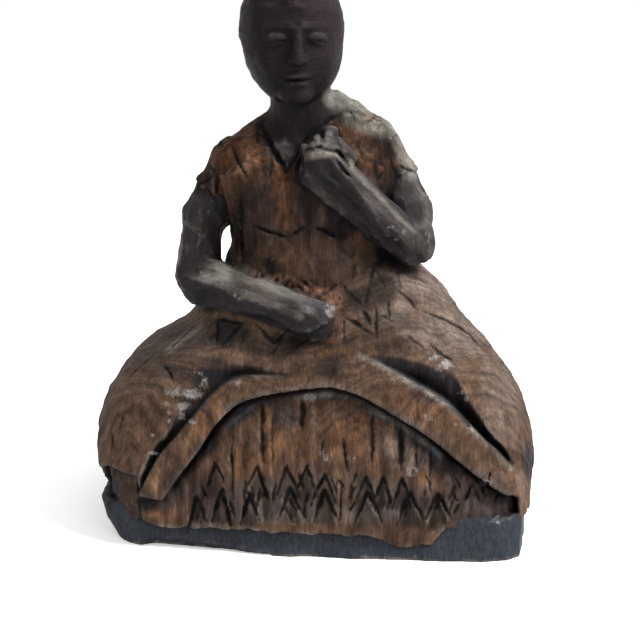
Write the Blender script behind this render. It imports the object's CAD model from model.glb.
"""Looks of the carved wood figure: fine carving, worn stain and paint, floor, light and camera.

The carving is worked out in millimetres, in the carver's own frame: +Z up, facing -Y. Its form is
a signed distance (negative inside the wood) made of the same masses as the CAD solid, with the
finer knife work added. The skin is then placed in the frame's metres.
"""
import math
from itertools import product
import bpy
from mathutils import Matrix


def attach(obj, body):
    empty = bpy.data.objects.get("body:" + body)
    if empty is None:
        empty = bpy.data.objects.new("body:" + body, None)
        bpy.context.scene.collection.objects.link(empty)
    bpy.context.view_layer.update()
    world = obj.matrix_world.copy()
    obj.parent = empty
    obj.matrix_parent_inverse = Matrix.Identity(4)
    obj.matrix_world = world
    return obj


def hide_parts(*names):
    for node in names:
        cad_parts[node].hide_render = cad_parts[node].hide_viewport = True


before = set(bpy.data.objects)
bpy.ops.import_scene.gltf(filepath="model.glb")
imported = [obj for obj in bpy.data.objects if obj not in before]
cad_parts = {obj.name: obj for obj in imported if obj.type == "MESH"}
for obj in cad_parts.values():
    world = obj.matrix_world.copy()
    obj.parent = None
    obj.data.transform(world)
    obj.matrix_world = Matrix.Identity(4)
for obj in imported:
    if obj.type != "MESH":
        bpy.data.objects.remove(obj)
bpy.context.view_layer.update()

from types import SimpleNamespace

import bpy
import numpy as np

MM = 0.001

# Middle of the solid's outline in the carver's frame; the frame's origin is there
MIDDLE = (-1.1, -1.65)

# Camera: the photograph looks down a little on the front
CAMERA = {"elevation": math.radians(15), "distance": 520.0, "target": (0.0, 0.0, 68.7),
          "half_angle_tan": 0.2154}
PHOTO_HALF = 320
SENSOR = 36.0


def camera_axes():
    """Forward and up directions of the camera, and its place in the carver's frame."""
    lift = CAMERA["elevation"]
    forward = np.array([0.0, math.cos(lift), -math.sin(lift)])
    up = np.array([0.0, math.sin(lift), math.cos(lift)])
    eye = np.array(CAMERA["target"]) - CAMERA["distance"] * forward
    return forward, up, eye


FORWARD, UP, EYE = camera_axes()


def make_camera():
    data = bpy.data.cameras.new("camera")
    data.sensor_width = SENSOR
    data.lens = SENSOR / (2 * CAMERA["half_angle_tan"])
    data.clip_start = 0.01
    data.dof.use_dof = False
    camera = bpy.data.objects.new("camera", data)
    camera.location = [(EYE[0] - MIDDLE[0]) * MM, (EYE[1] - MIDDLE[1]) * MM, EYE[2] * MM]
    camera.rotation_euler = (math.pi / 2 - CAMERA["elevation"], 0, 0)
    bpy.context.scene.collection.objects.link(camera)
    bpy.context.scene.camera = camera


make_camera()

# Masses, as in the solid
LAP = dict(turn=math.radians(-5), half_width=77, centre_x=-1.5, shift_up=5, front=50, back=45,
           widest_z=22, deepest_z=16, top_z=97, side_reach=90, fall=1.8, fall_left=1.95,
           front_reach=87, back_reach=89, foot_in=2.5, sides_in=0.09, sides_in_left=0.36, sides_in_z=33,
           hip_in=3.0, hip_in_left=6.5, hip_z=70.5, hip_tall=9, least_half_width=14, least_depth=10)
BASE = dict(half_width=72.6, centre_x=-0.6, front=47.4, lean=0.22, back=43.6, top_z=14, left_taper=0.4,
            left_back=0.085, corner=8.5)
CHIP = ((-56, -41, -1), (-18, -46.5, -1.5), (5.4, 3.0))
HEM = [
    (-80, 9), (-69, 8.5), (-60, 9.5), (-50, 8.2), (-26, 8.8), (8, 8.4), (18, 7.8), (25.6, 4.6), (36.6, 5.2),
    (41.2, 10.8), (52, 11.5), (60, 9.6), (80, 9.2),
]
BACK_HEM_Z = 11.5
TRUNK = dict(centre_x=-4, waist_z=100, waist_in=1.5, waist_tall=8, half_width=28.8, chest_out=3,
             front=20.5, belly=3, belly_z=88, breast=1.4, breast_z=116, back=19, top_z=133)
SHOULDERS = [
    ((-9, 2, 134.5), (-25.5, 1.5, 125.5), (10.5, 9.2)), ((3, 2, 136.5), (16.5, 1.5, 131), (12, 9.4)),
]
COLLAR_CUTS = [((-30, 0, 128), (-0.62, 0, 0.78), 7), ((22, 0, 134), (0.75, 0, 0.66), 7),
               ((-4, -19, 128), (0, -0.8, 0.6), 6)]
NECK = ((-5.5, 0, 130), (-6.8, -1.5, 152), (11.2, 9.9))
HEAD = dict(x=-9.5, y=-1, turn=math.radians(7), crown_z=190, chin_z=145.6,
            half_width=17.4, half_depth=19.3, half_height=19.8)
FACE_HEIGHT = HEAD["crown_z"] - HEAD["chin_z"]
FACE = dict(eye_z=HEAD["chin_z"] + 0.48 * FACE_HEIGHT, nose_z=HEAD["chin_z"] + 0.3 * FACE_HEIGHT,
            mouth_z=HEAD["chin_z"] + 0.19 * FACE_HEIGHT, eye_x=0.36 * HEAD["half_width"])
LOW_ARM = [
    ((-28.8, 0.5, 122), (-39.2, -2, 106), (8.8, 6.9)), ((-39.2, -2, 106), (-42.2, -6.5, 88), (6.9, 7.4)),
]
LOW_FOREARM = ((-40.4, -8, 84.6), (-1.5, -35.5, 78.4), (8.0, 6.4))
LOW_HAND_CUTS = [((3.6, -38.5, 79), (0.84, -0.5, -0.1)), ((0, -36, 84.2), (0.45, -0.1, 0.88))]
RAISED_ARM = [
    ((19.5, 0.5, 125.5), (30.2, -5, 108), (9.4, 7)), ((30.2, -5, 108), (32.2, -11, 98.8), (7, 6.8)),
]
RAISED_FOREARM = ((29.8, -13, 97.4), (5, -24, 123.4), (6.4, 7.6))
FOREARM_FACES = [
    ((19, -22.2, 115.3), (0.64, -0.55, 0.53)), ((13.8, -25.2, 111), (-0.19, -0.96, -0.16)),
    ((-5.8, -24, 126), (-1, -0.12, -0.1)), ((2, -25, 131.8), (0, -0.3, 0.95)),
]
PALM = ((5, -24, 123.4), (-0.6, -24.3, 127.6), (7.6, 8.6))
HAND = [
    ((1.2, -22, 130.5), (3.4, -16.5, 136.6), (4.0, 2.6)), ((-2, -22.4, 131), (0, -19, 135), (2.8, 2.0)),
    ((5.6, -19.5, 133), (10, -19.5, 128.6), (2.8, 2.2)),
]
SLEEVE = dict(thick=0.9, fade=0.3, left_z=115.2, left_x=-35.4, left_lean=0.42, right_z=121, tooth=1.3,
              pitch=5)

# Lines carved on the front of the lap, as (x, z)
KNEE_EDGE = [(-80, 22), (-75.9, 23.4), (-71, 26.3), (-65, 25.9), (-60.6, 25.8), (-60.2, 19.2), (-52, 19)]
ARCH_LEFT = [
    (-51.8, 19.3), (-46.6, 27), (-40.2, 35.5), (-34.3, 44.6), (-27.5, 51.2), (-20.5, 54.2), (-9.5, 56.5),
    (3.2, 58),
]
ARCH_RIGHT = [(3.2, 58), (12.9, 55.4), (26, 48.2), (36, 41.7), (46, 33), (59.5, 22.5), (63.5, 21)]
RIGHT_END = [(65, 20), (66, 12), (80, 11)]
LEFT_LEG_TOP = [
    (-60.5, 19.2), (-57.4, 25.5), (-53.3, 33), (-47.9, 39.6), (-42.4, 46.5), (-36.9, 53), (-31.5, 57.6),
    (-25.5, 60.2), (-17, 61), (-5, 61.4),
]
RIGHT_LEG_TOP = [
    (8.1, 69.6), (13, 67.5), (26, 61.2), (39, 53.6), (46, 47.6), (52.4, 41), (59.3, 34.3), (63.7, 29),
]
# Each groove opens to the width given along it, from the leg's outer end inward, and has its own share
# of slate film and of dark stain
LEG_GROOVES = [
    dict(line=LEFT_LEG_TOP, film=0.45, stain=0.55, deep=3.4, open_to=0.6, outer_end="left",
         widths=[(0, 2.4), (0.2, 3.2), (0.3, 7), (0.38, 9), (0.45, 8.4), (0.5, 6.4), (0.56, 4.4), (0.68, 3),
                 (0.85, 1.4)]),
    dict(line=RIGHT_LEG_TOP, film=0.85, stain=1.2, deep=5.4, open_to=0.5, outer_end="right",
         widths=[(0, 1.6), (0.14, 3), (0.26, 4.8), (0.35, 8), (0.5, 6.8), (0.7, 4.6), (0.85, 2), (1, 1)]),
]
PANEL = dict(deep=1.6, edge_deep=1, arch_deep=3.2, flute_pitch=9.2, flute_deep=1.1, undercut=1.3)

# Knife cuts seen on the front: path in pixels of the photograph's 640 frame, then width and depth in mm
COLLAR_KNIFE = [
    ([(262, 126), (270, 143), (286, 172)], 2.6, 1.5),
    ([(286, 172), (300, 148), (326, 122), (343, 113)], 2.2, 1.2),
    ([(302, 150), (303, 178)], 2.2, 0.9),
    ([(229, 138), (238, 160), (250, 184)], 1.3, 0.8),
    ([(258, 128), (257, 146)], 1.1, 0.5),
    ([(272, 148), (271, 178)], 1.0, 0.4),
    ([(282, 196), (285, 226)], 1.0, 0.4),
]
CHEST_KNIFE = [
    ([(252, 224), (270, 232), (287, 237)], 1.7, 1.1),
    ([(292, 236), (304, 226)], 1.9, 1.1),
    ([(314, 227), (337, 237)], 1.6, 1.0),
    ([(241, 192), (243, 262)], 1.7, 0.8),
    ([(300, 280), (315, 292)], 1.4, 0.8),
    ([(339, 283), (325, 294)], 1.4, 0.8),
    ([(341, 284), (363, 307)], 2.0, 1.3),
    ([(375, 263), (370, 286), (365, 307)], 1.6, 1.1),
    ([(355, 262), (352, 283)], 1.1, 0.5),
    ([(376, 268), (386, 288)], 1.3, 0.7),
]
WAIST_KNIFE = [
    ([(389, 300), (389, 320)], 1.4, 0.9),
    ([(376, 307), (376, 338)], 1.5, 1.0),
    ([(345, 318), (374, 334)], 1.7, 1.1),
    ([(362, 311), (371, 325)], 1.9, 1.1),
    ([(380, 316), (396, 321)], 1.1, 0.6),
    ([(343, 318), (344, 348)], 1.3, 0.7),
    ([(217, 320), (218, 344)], 1.9, 1.1),
    ([(217, 320), (243, 323)], 1.9, 1.1),
    ([(243, 323), (221, 346)], 1.9, 1.2),
    ([(256, 324), (274, 344), (292, 326)], 1.6, 0.9),
    ([(283, 336), (272, 356)], 1.2, 0.6),
    ([(296, 348), (312, 336)], 1.2, 0.6),
]
SKIRT_KNIFE = [
    ([(405, 334), (426, 350)], 1.2, 0.6),
    ([(430, 345), (456, 366)], 1.7, 1.0),
    ([(423, 311), (446, 320), (470, 335), (483, 348)], 1.6, 0.9),
    ([(395, 288), (409, 298), (417, 309)], 1.5, 0.7),
    ([(410, 274), (426, 282)], 1.3, 0.5),
    ([(397, 268), (401, 290)], 1.2, 0.5),
    ([(418, 394), (418, 424)], 0.9, 0.4),
    ([(118, 432), (124, 414)], 1.0, 0.4),
    ([(112, 432), (114, 448)], 1.3, 0.5),
    ([(199, 322), (167, 352)], 1.2, 0.6),
    ([(163, 346), (122, 384)], 1.1, 0.4),
    ([(164, 367), (174, 380)], 1.6, 0.8),
]
FLUTE_KNIFE = [
    ([(262, 402), (263, 462)], 2.2, 0.9),
    ([(272, 412), (273, 478)], 1.4, 0.5),
    ([(303, 398), (302, 430)], 3.0, 1.0),
    ([(323, 440), (323, 456)], 1.6, 0.8),
    ([(343, 438), (347, 472)], 1.9, 0.9),
    ([(373, 410), (372, 468)], 2.2, 0.8),
    ([(402, 424), (401, 470)], 2.6, 1.0),
    ([(416, 438), (417, 472)], 1.6, 0.6),
    ([(431, 448), (430, 482)], 1.8, 0.7),
    ([(232, 445), (233, 500)], 1.5, 0.8),
    ([(342, 480), (340, 522)], 1.5, 0.8),
]
LEFT_SLEEVE_KNIFE = [
    ([(196, 186), (212, 178)], 1.4, 0.8),
    ([(207, 163), (216, 173)], 1.2, 0.7),
    ([(218, 172), (217, 198)], 1.4, 0.7),
    ([(185, 219), (204, 236)], 1.1, 0.5),
    ([(208, 190), (217, 202)], 1.2, 0.6),
]
RIGHT_SLEEVE_KNIFE = [
    ([(390, 158), (395, 176)], 1.6, 1.0),
    ([(374, 160), (378, 180), (386, 168)], 1.5, 0.9),
    ([(398, 166), (414, 172)], 1.4, 0.8),
    ([(358, 142), (362, 160)], 1.5, 0.8),
    ([(350, 110), (357, 122)], 1.3, 0.7),
    ([(368, 122), (376, 116)], 1.2, 0.6),
]
HAND_KNIFE = [
    ([(304, 150), (320, 148), (338, 152), (350, 166)], 2.0, 1.2),
    ([(321, 128), (323, 147)], 2.2, 1.4),
    ([(333, 134), (342, 150)], 1.4, 0.7),
    ([(336, 158), (343, 171), (352, 177)], 1.5, 0.9),
    ([(311, 138), (318, 143)], 1.2, 0.6),
]
# Rows of peaked cuts above the hem, by the place of each peak in the same pixels
UPPER_PEAKS = dict(drop=30, spread=11, width=1.7, depth=1.3, tops=[
    (215, 463), (258, 466), (287, 467), (307, 466), (325, 475), (366, 477), (384, 477), (402, 478)])
LOWER_PEAKS = dict(drop=34, spread=12, width=1.9, depth=1.4, tops=[
    (197, 496), (222, 489), (250, 492), (290, 489), (325, 490), (368, 491), (410, 492), (438, 494)])
# Stretches above the hem strewn with short cuts: how many, and left, right, top and bottom
HEM_TANGLES = [(20, 200, 320, 470, 505), (26, 330, 500, 470, 505)]
# Height in mm that the marks inside the peaks stay under
PEAKS_TOP = 36

# Patches seen on the front, in the same pixels: middle, half width and height, strength. Lines have
# a path, a half width and a strength.
# Splintered wood along the waist
TORN_LINES = [
    ([(258, 277), (300, 289), (336, 300)], 10, 1.0), ([(336, 298), (332, 320), (327, 352)], 8, 0.8),
]
LIME_PATCHES = [
    (174, 391, 13, 9, 0.9), (194, 394, 14, 8, 1.0), (204, 383, 6, 9, 0.9), (184, 406, 14, 6, 0.85),
    (180, 416, 7, 7, 0.6), (166, 404, 5, 4, 1.0), (169, 413, 3, 4, 1.0), (169, 421, 3, 4, 0.9),
    (152, 435, 4, 4, 0.8), (154, 453, 7, 3, 1.0), (192, 422, 6, 4, 0.9), (163, 458, 4, 3, 0.6),
    (153, 380, 4, 3, 0.4), (237, 382, 9, 5, 0.6), (198, 373, 6, 4, 0.8), (434, 358, 9, 5, 0.9),
    (446, 364, 12, 7, 1.0), (438, 371, 7, 4, 0.7), (455, 357, 5, 3, 0.6), (461, 392, 7, 4, 0.8),
    (467, 399, 5, 5, 0.8), (458, 424, 8, 4, 0.8), (470, 430, 9, 5, 0.8), (480, 426, 4, 3, 0.6),
    (432, 417, 14, 6, 0.7), (400, 379, 13, 5, 0.7), (310, 398, 10, 6, 0.9), (325, 455, 10, 10, 0.7),
    (351, 458, 7, 8, 0.6), (412, 472, 9, 9, 0.9), (485, 483, 10, 5, 0.8), (497, 520, 10, 7, 0.7),
    (331, 310, 8, 12, 0.9), (391, 227, 5, 3, 0.8), (404, 232, 6, 5, 0.8), (397, 239, 4, 3, 0.7),
    (241, 296, 10, 8, 0.6), (427, 236, 6, 6, 0.5), (206, 274, 9, 8, 0.6), (212, 138, 20, 8, 0.4),
    (405, 150, 12, 20, 0.4),
]
SLATE_PATCHES = [
    (205, 376, 46, 9, 0.9), (222, 333, 20, 17, 1.0), (285, 414, 18, 20, 0.85), (186, 482, 34, 18, 0.75),
    (480, 504, 46, 24, 0.75), (110, 494, 22, 30, 0.6), (402, 205, 26, 36, 0.9), (345, 112, 24, 12, 0.7),
    (430, 395, 22, 10, 0.6), (325, 365, 20, 14, 0.5), (445, 462, 24, 22, 0.75), (218, 512, 40, 16, 0.6),
    (300, 505, 60, 20, 0.3), (400, 510, 50, 20, 0.3), (530, 460, 9, 24, 0.9), (238, 405, 20, 10, 0.6),
    (196, 338, 30, 12, 0.5), (390, 322, 30, 12, 0.4),
]
SLATE_LINES = [
    ([(385, 415), (430, 447), (478, 484)], 14, 0.95), ([(262, 400), (228, 423), (205, 450)], 10, 1.0),
    ([(205, 450), (182, 482), (162, 508)], 8, 0.9),
    ([(262, 402), (300, 394), (345, 396), (385, 414)], 7, 0.8),
    ([(166, 367), (200, 373), (243, 373)], 5, 0.9), ([(219, 384), (204, 403), (187, 421)], 4, 0.9),
]
# Grime in corners, over stain and paint alike
GRIMY_PATCHES = [
    (106, 494, 14, 22, 0.75), (150, 505, 15, 9, 0.95), (222, 330, 22, 16, 0.7), (180, 500, 16, 10, 0.4),
    (288, 152, 13, 20, 0.6), (203, 179, 16, 19, 0.9), (386, 146, 15, 26, 0.9), (398, 172, 14, 9, 0.8),
    (418, 500, 30, 20, 0.35), (240, 200, 12, 26, 0.5), (324, 138, 13, 10, 0.5), (234, 134, 14, 10, 0.4),
    (360, 137, 13, 12, 0.4),
]
# Blue grey film on the ledges under the legs' arch
BLUE_LINES = [
    ([(371, 412), (396, 420), (414, 427), (432, 446), (441, 457)], 4, 0.9),
    ([(405, 379), (432, 395), (450, 405), (468, 420), (486, 436), (504, 454)], 3, 0.8),
    ([(300, 397), (322, 391), (345, 398)], 3, 0.6), ([(258, 403), (228, 425)], 3, 0.6),
]
# Streaks of golden wood where the stain is worn through
GOLD_LINES = [
    ([(278, 163), (284, 195), (286, 228)], 4, 1.0), ([(230, 148), (244, 178)], 6, 0.6),
    ([(271, 410), (272, 474)], 5, 0.8), ([(338, 470), (339, 515)], 4, 0.6),
    ([(364, 128), (372, 160)], 6, 0.6), ([(252, 148), (262, 184)], 4, 0.5),
    ([(414, 450), (414, 478)], 5, 0.5), ([(392, 425), (392, 466)], 4, 0.4),
    ([(154, 486), (174, 456), (196, 432)], 9, 0.5), ([(196, 432), (214, 411), (240, 392)], 8, 0.2),
]
# Purple brown stain low on the panel and on the chest
PLUM_PATCHES = [
    (250, 500, 62, 26, 0.6), (330, 508, 60, 20, 0.5), (400, 503, 62, 24, 0.6), (470, 492, 50, 28, 0.7),
    (196, 503, 44, 20, 0.6), (118, 500, 22, 28, 0.6), (505, 505, 22, 20, 0.5), (320, 470, 60, 14, 0.3),
    (316, 206, 34, 52, 0.8), (260, 216, 22, 40, 0.6), (300, 242, 50, 18, 0.5), (330, 258, 30, 22, 0.6),
]
DARK_PATCHES = [
    (246, 226, 18, 58, 1.0), (258, 268, 36, 16, 1.0), (314, 200, 26, 38, 0.9), (340, 215, 28, 40, 0.95),
    (374, 256, 18, 22, 0.9), (384, 288, 18, 24, 0.8), (232, 333, 28, 18, 0.95), (280, 345, 52, 16, 0.85),
    (275, 210, 24, 40, 0.5), (300, 168, 26, 24, 0.85), (262, 122, 12, 18, 0.95), (290, 112, 30, 10, 0.9),
    (390, 190, 20, 26, 0.9), (330, 350, 14, 40, 0.6), (362, 298, 26, 16, 0.85), (310, 225, 95, 85, 0.5),
    (150, 340, 60, 40, 0.6), (125, 505, 26, 30, 0.5), (375, 345, 50, 18, 0.5), (188, 186, 18, 16, 0.7),
    (380, 150, 20, 24, 0.6), (262, 180, 14, 24, 0.5), (345, 176, 22, 20, 0.9), (146, 503, 14, 9, 0.9),
    (300, 264, 52, 18, 0.3), (330, 280, 30, 16, 0.45), (222, 140, 14, 12, 0.4), (376, 176, 14, 12, 0.6),
    (330, 364, 44, 24, 0.35), (298, 357, 50, 15, 0.5), (392, 392, 36, 13, 0.35),
]
ORANGE_PATCHES = [
    (240, 156, 30, 26, 0.8), (226, 182, 18, 14, 0.6), (284, 196, 11, 34, 0.9), (366, 146, 20, 24, 0.45),
    (392, 168, 18, 10, 0.5), (310, 258, 46, 20, 0.25), (270, 440, 16, 44, 0.7), (336, 450, 14, 40, 0.4),
    (524, 496, 10, 24, 0.9), (125, 500, 14, 18, 0.6), (175, 512, 40, 10, 0.6), (330, 340, 12, 36, 0.6),
    (428, 480, 14, 24, 0.5), (245, 465, 18, 20, 0.5), (350, 352, 30, 10, 0.4), (208, 420, 20, 60, 0.35),
    (425, 405, 60, 34, 0.25), (365, 445, 26, 36, 0.45), (300, 455, 22, 30, 0.4),
]
# Thick dust on the shoulder and along the arms
DUSTY_LINES = [
    ([(336, 97), (362, 101), (388, 116), (405, 140), (413, 168)], 15, 1.0),
    ([(352, 118), (380, 128)], 12, 0.7), ([(412, 176), (428, 205), (433, 236)], 6, 0.15),
    ([(350, 166), (372, 190), (396, 214), (414, 232)], 3.5, 0.5),
    ([(216, 266), (262, 282), (300, 298)], 7, 0.5), ([(204, 278), (240, 290)], 6, 0.4),
    ([(236, 128), (262, 116)], 5, 0.15), ([(314, 154), (334, 152), (350, 162)], 4, 0.8),
    ([(320, 130), (344, 150)], 7, 0.15), ([(182, 214), (178, 262)], 3, 0.35),
]
PALE_PATCHES = [
    (432, 283, 50, 34, 1.0), (452, 330, 60, 34, 0.8), (500, 400, 26, 70, 0.55), (150, 345, 46, 26, 0.35),
    (400, 310, 30, 16, 0.7), (380, 118, 40, 22, 0.5), (408, 150, 16, 26, 0.5), (408, 446, 38, 30, 0.7),
    (320, 514, 130, 12, 0.7), (325, 486, 110, 14, 0.4), (524, 488, 10, 22, 0.6),
]
# Edges rubbed pale, and the knife's light facets
PALE_LINES = [
    ([(358, 354), (400, 377), (440, 399), (480, 437), (512, 468)], 4.5, 0.8),
    ([(345, 393), (395, 420), (432, 447)], 5, 0.6), ([(296, 398), (332, 394)], 4, 0.7),
    ([(168, 350), (200, 325)], 5, 0.8), ([(306, 157), (335, 153), (352, 164)], 5, 0.9),
    ([(350, 164), (385, 206), (428, 250)], 9, 0.2), ([(312, 145), (345, 150)], 4, 0.5),
    ([(213, 270), (245, 277), (275, 292)], 13, 0.75), ([(186, 222), (204, 236)], 3, 0.5),
    ([(410, 176), (428, 205), (432, 235)], 9, 0.1), ([(245, 292), (300, 316)], 6, 0.5),
]

# Skin: grid step in mm and the number of triangles kept
STEP = 0.56
TRIANGLES = 194000
SEED = 11


# Small mathematics on arrays
def ramp(start, end, v):
    t = np.clip((v - start) / (end - start), 0, 1)
    return t * t * (3 - 2 * t)


def bump(v, middle, spread):
    return np.exp(-((v - middle) / spread) ** 2)


def join(a, b, k):
    """Union with a fillet of about k."""
    h = np.clip(0.5 + 0.5 * (b - a) / k, 0, 1)
    return b * (1 - h) + a * h - k * h * (1 - h)


def trim(a, b, k):
    """Intersection with a fillet of about k."""
    return -join(-a, -b, k)


def ellipsoid(x, y, z, centre, radii):
    u, v, w = (x - centre[0]) / radii[0], (y - centre[1]) / radii[1], (z - centre[2]) / radii[2]
    k0 = np.sqrt(u * u + v * v + w * w) + 1e-9
    k1 = np.sqrt((u / radii[0]) ** 2 + (v / radii[1]) ** 2 + (w / radii[2]) ** 2) + 1e-9
    return k0 * (k0 - 1) / k1


def limb(x, y, z, start, end, radii):
    """Tapered rod with round ends."""
    dx, dy, dz = (e - s for s, e in zip(start, end))
    px, py, pz = x - start[0], y - start[1], z - start[2]
    t = np.clip((px * dx + py * dy + pz * dz) / (dx * dx + dy * dy + dz * dz), 0, 1)
    gap = np.sqrt((px - t * dx) ** 2 + (py - t * dy) ** 2 + (pz - t * dz) ** 2)
    return gap - (radii[0] + (radii[1] - radii[0]) * t)


def cut_plane(x, y, z, point, normal):
    length = math.sqrt(sum(n * n for n in normal))
    return ((x - point[0]) * normal[0] + (y - point[1]) * normal[1] + (z - point[2]) * normal[2]) / length


def turned(x, y, angle, cx=0.0, cy=0.0):
    c, s = math.cos(angle), math.sin(angle)
    return cx + (x - cx) * c + (y - cy) * s, cy - (x - cx) * s + (y - cy) * c


def plan(u, v, half_width, front, back, n):
    """Outline in plan between an ellipse (n = 2) and a box (large n)."""
    depth = np.where(v < 0, front, back)
    q = ((np.abs(u) / half_width) ** n + (np.abs(v) / depth) ** n) ** (1 / n)
    return (q - 1) * np.minimum(half_width, depth)


def smooth_line(points, per_span=10):
    """Catmull-Rom line through a few points."""
    p = np.array(points, float)
    p = np.vstack([2 * p[0] - p[1], p, 2 * p[-1] - p[-2]])
    line = []
    for i in range(1, len(p) - 2):
        for t in np.arange(per_span) / per_span:
            a, b, c, d = p[i - 1:i + 3]
            line.append(0.5 * (2 * b + (c - a) * t + (2 * a - 5 * b + 4 * c - d) * t ** 2
                               + (3 * b - a - 3 * c + d) * t ** 3))
    return line + [p[-2]]


class HeightTable:
    """Height of a carved line over x, and the cosine of its lean."""

    def __init__(self, line):
        line = np.array(line, float)
        self.start, self.end = line[0, 0], line[-1, 0]
        self.xs = np.arange(self.start, self.end, 0.25)
        self.heights = np.interp(self.xs, line[:, 0], line[:, 1])
        ahead = np.interp(self.xs + 0.5, line[:, 0], line[:, 1])
        behind = np.interp(self.xs - 0.5, line[:, 0], line[:, 1])
        self.leans = 1 / np.hypot(1, np.clip(ahead - behind, -4, 4))

    def over(self, x, z):
        """Height above the line, measured square to it."""
        return (z - np.interp(x, self.xs, self.heights)) * np.interp(x, self.xs, self.leans)


def hashed(i, j, k, seed):
    """Even random numbers in 0 to 1 for whole-number places."""
    with np.errstate(over="ignore"):
        h = (i.astype(np.uint32) * np.uint32(73856093)) ^ (j.astype(np.uint32) * np.uint32(19349663))
        h ^= (k.astype(np.uint32) * np.uint32(83492791)) ^ np.uint32(seed * 2654435761 % 2 ** 32)
        h ^= h >> np.uint32(15)
        h *= np.uint32(2246822519)
        h ^= h >> np.uint32(13)
        h *= np.uint32(3266489917)
        h ^= h >> np.uint32(16)
    return h.astype(np.float32) / np.float32(2 ** 32)


def noise(x, y, z, seed):
    """Smooth noise in -1 to 1 with a period of about 1."""
    cell = [np.floor(v).astype(np.int64) for v in (x, y, z)]
    part = [ramp(0, 1, v - c).astype(np.float32) for v, c in zip((x, y, z), cell)]
    total = np.zeros(x.shape, np.float32)
    for corner in range(8):
        step = [(corner >> axis) & 1 for axis in range(3)]
        weight = np.ones(x.shape, np.float32)
        for axis in range(3):
            weight = weight * (part[axis] if step[axis] else 1 - part[axis])
        total += weight * hashed(cell[0] + step[0], cell[1] + step[1], cell[2] + step[2], seed)
    return 2 * total - 1


def scoops(x, y, z, size, seed):
    """Shallow bowls left by a knife, 1 in the middle of each and less at the ridges between them."""
    u, v, w = x / size[0], y / size[1], z / size[2]
    cell = [np.floor(c).astype(np.int64) for c in (u, v, w)]
    best = np.full(x.shape, 9.0, np.float32)
    for step in product((-1, 0, 1), repeat=3):
        i, j, k = [c + d for c, d in zip(cell, step)]
        du = i + 0.1 + 0.8 * hashed(i, j, k, seed) - u
        dv = j + 0.1 + 0.8 * hashed(i, j, k, seed + 1) - v
        dw = k + 0.1 + 0.8 * hashed(i, j, k, seed + 2) - w
        best = np.minimum(best, du * du + dv * dv + dw * dw)
    return 1 - np.minimum(best, 1.2)


def photo_place(x, y, z):
    """Where a point of the carving shows in the photograph's 640 frame."""
    dx, dy, dz = x - EYE[0], y - EYE[1], z - EYE[2]
    depth = dy * FORWARD[1] + dz * FORWARD[2]
    scale = PHOTO_HALF / CAMERA["half_angle_tan"] / depth
    return PHOTO_HALF + dx * scale, PHOTO_HALF - (dy * UP[1] + dz * UP[2]) * scale


MM_PER_PIXEL = CAMERA["distance"] * CAMERA["half_angle_tan"] / PHOTO_HALF


def place_on_path(a, b, path):
    """Distance to a path and how far along it the nearest point lies, from 0 to 1."""
    lengths = [math.dist(start, end) for start, end in zip(path[:-1], path[1:])]
    best = np.full(a.shape, 1e9, np.float32)
    along = np.zeros(a.shape, np.float32)
    done = 0.0
    for (ax, ay), (bx, by), length in zip(path[:-1], path[1:], lengths):
        dx, dy = bx - ax, by - ay
        t = np.clip(((a - ax) * dx + (b - ay) * dy) / (dx * dx + dy * dy), 0, 1)
        gap = (a - ax - t * dx) ** 2 + (b - ay - t * dy) ** 2
        along = np.where(gap < best, (done + t * length) / sum(lengths), along)
        best = np.minimum(best, gap)
        done += length
    return np.sqrt(best), along


def knife_cuts(px, py, cuts):
    """Depth of V-section cuts at places in the photograph, thinner where the blade goes in and out."""
    depth = np.zeros(px.shape, np.float32)
    for number, (path, width, deep) in enumerate(cuts):
        half = width / 2 / MM_PER_PIXEL
        xs, ys = zip(*path)
        near = (px > min(xs) - half) & (px < max(xs) + half) & (py > min(ys) - half) & (py < max(ys) + half)
        if near.any():
            a, b = px[near], py[near]
            which = np.full(a.shape, number, np.float32)
            wander = 0.9 * noise(a / 7, b / 7, which, SEED + 80)
            gap, along = place_on_path(a + wander, b - wander, path)
            thin = 0.45 + 0.55 * ramp(0, 0.25, np.minimum(along, 1 - along))
            thin = thin * (1 + 0.25 * noise(a / 5, b / 5, which, SEED + 81))
            cut = deep * thin * np.clip(1 - gap / (half * thin), 0, 1)
            depth[near] = np.maximum(depth[near], cut)
    return depth


def peak_cuts(row, seed):
    """Peaked cuts from their tops, with a hand's unevenness."""
    rng = np.random.default_rng(seed)
    cuts = []
    for top_x, top_y in row["tops"]:
        feet = []
        for side in (-1, 1):
            foot_x = top_x + side * row["spread"] * rng.uniform(0.75, 1.2)
            feet.append((foot_x, top_y + row["drop"] * rng.uniform(0.75, 1.1)))
        path = [feet[0], (top_x, top_y), feet[1]]
        cuts.append((path, row["width"], row["depth"] * rng.uniform(0.8, 1.1)))
    return cuts


def tangled_cuts(count, left, right, top, bottom, seed):
    """Short steep cuts strewn over an area, as (path, width, depth)."""
    rng = np.random.default_rng(seed)
    cuts = []
    for _ in range(count):
        x, y = rng.uniform(left, right), rng.uniform(top, bottom)
        fall, slide = rng.uniform(10, 22), rng.choice([-1, 1]) * rng.uniform(2, 8)
        cuts.append(([(x, y), (x + slide, y + fall)], rng.uniform(1.1, 1.7), rng.uniform(0.5, 0.9)))
    return cuts


HEM_KNIFE = (peak_cuts(UPPER_PEAKS, SEED) + peak_cuts(LOWER_PEAKS, SEED + 1)
             + tangled_cuts(*HEM_TANGLES[0], SEED + 2) + tangled_cuts(*HEM_TANGLES[1], SEED + 3))


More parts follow.
